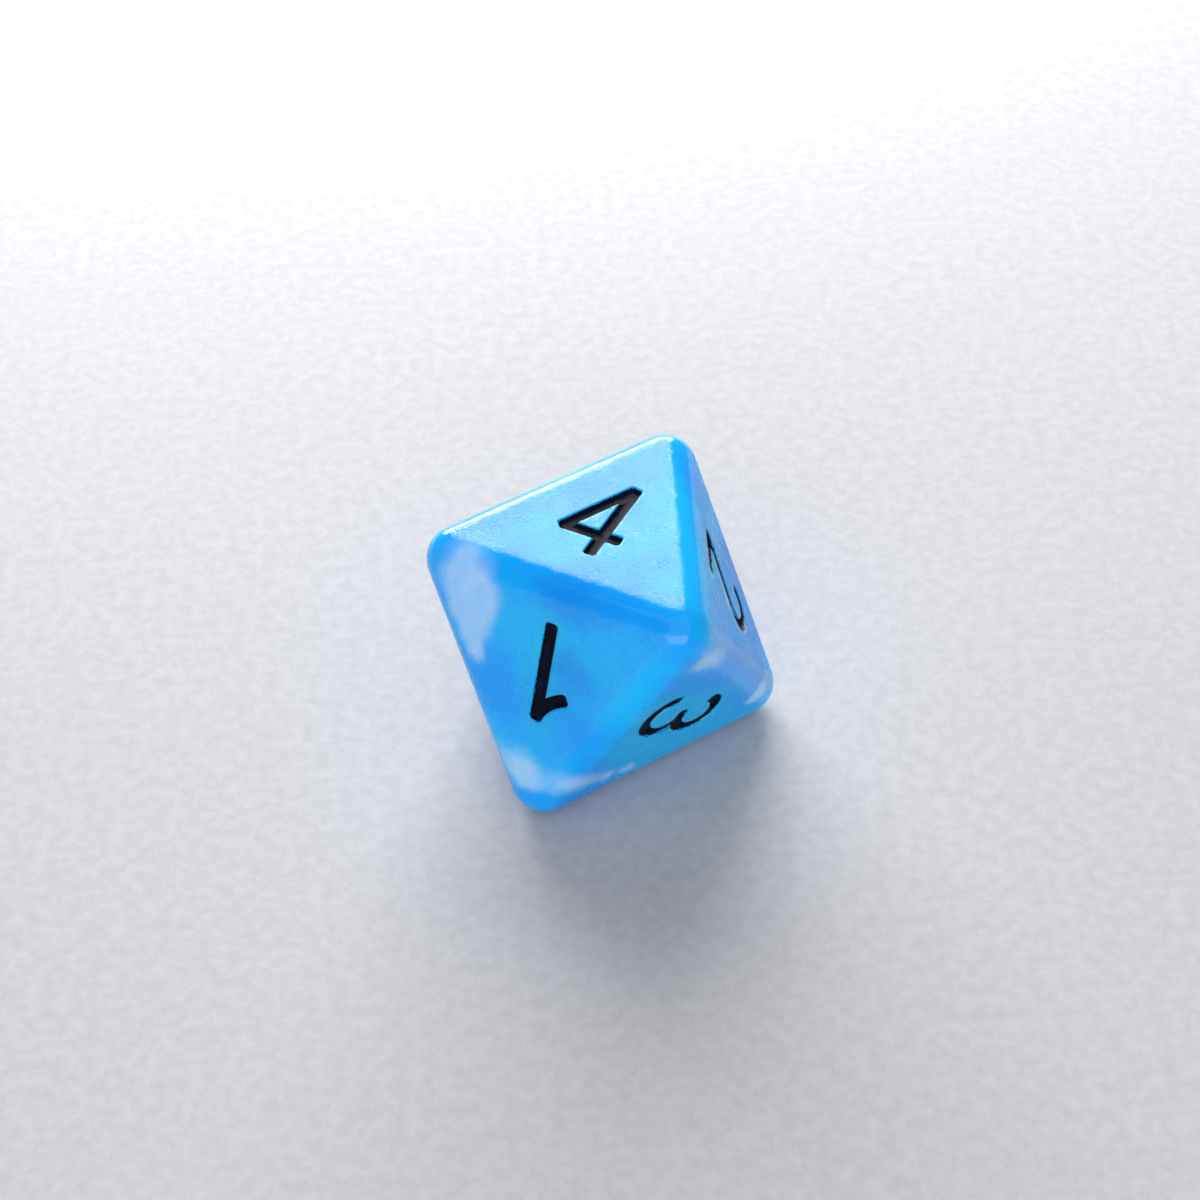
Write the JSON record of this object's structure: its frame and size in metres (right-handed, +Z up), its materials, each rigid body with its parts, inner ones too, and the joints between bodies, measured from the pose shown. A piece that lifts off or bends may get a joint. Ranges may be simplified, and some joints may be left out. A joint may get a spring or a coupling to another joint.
{
  "type": "eight-sided die",
  "caption": "Polyhedral tabletop game die: a rounded octahedron of cloudy blue resin, with a paint-filled numeral engraved in each face.",
  "frame": {"origin": "middle of the face that the die rests on, which carries the 5", "axes": "+Z up through the middle of the top face, which carries the 4; +X towards the corner where faces 2, 3, 5 and 8 meet; +Y away from the edge between faces 1 and 3"},
  "size_m": [0.0196, 0.0176, 0.015],
  "materials": {
    "resin": "translucent cloudy azure resin, tumbled gloss with fine scratches",
    "paint": "near-black satin paint"
  },
  "bodies": {
    "root": {"resin_casting": "resin", "paint_fill_1": "paint", "paint_fill_2": "paint", "paint_fill_3": "paint", "paint_fill_4": "paint", "paint_fill_5": "paint", "paint_fill_6": "paint", "paint_fill_7": "paint", "paint_fill_8": "paint"}
  },
  "joints": []
}
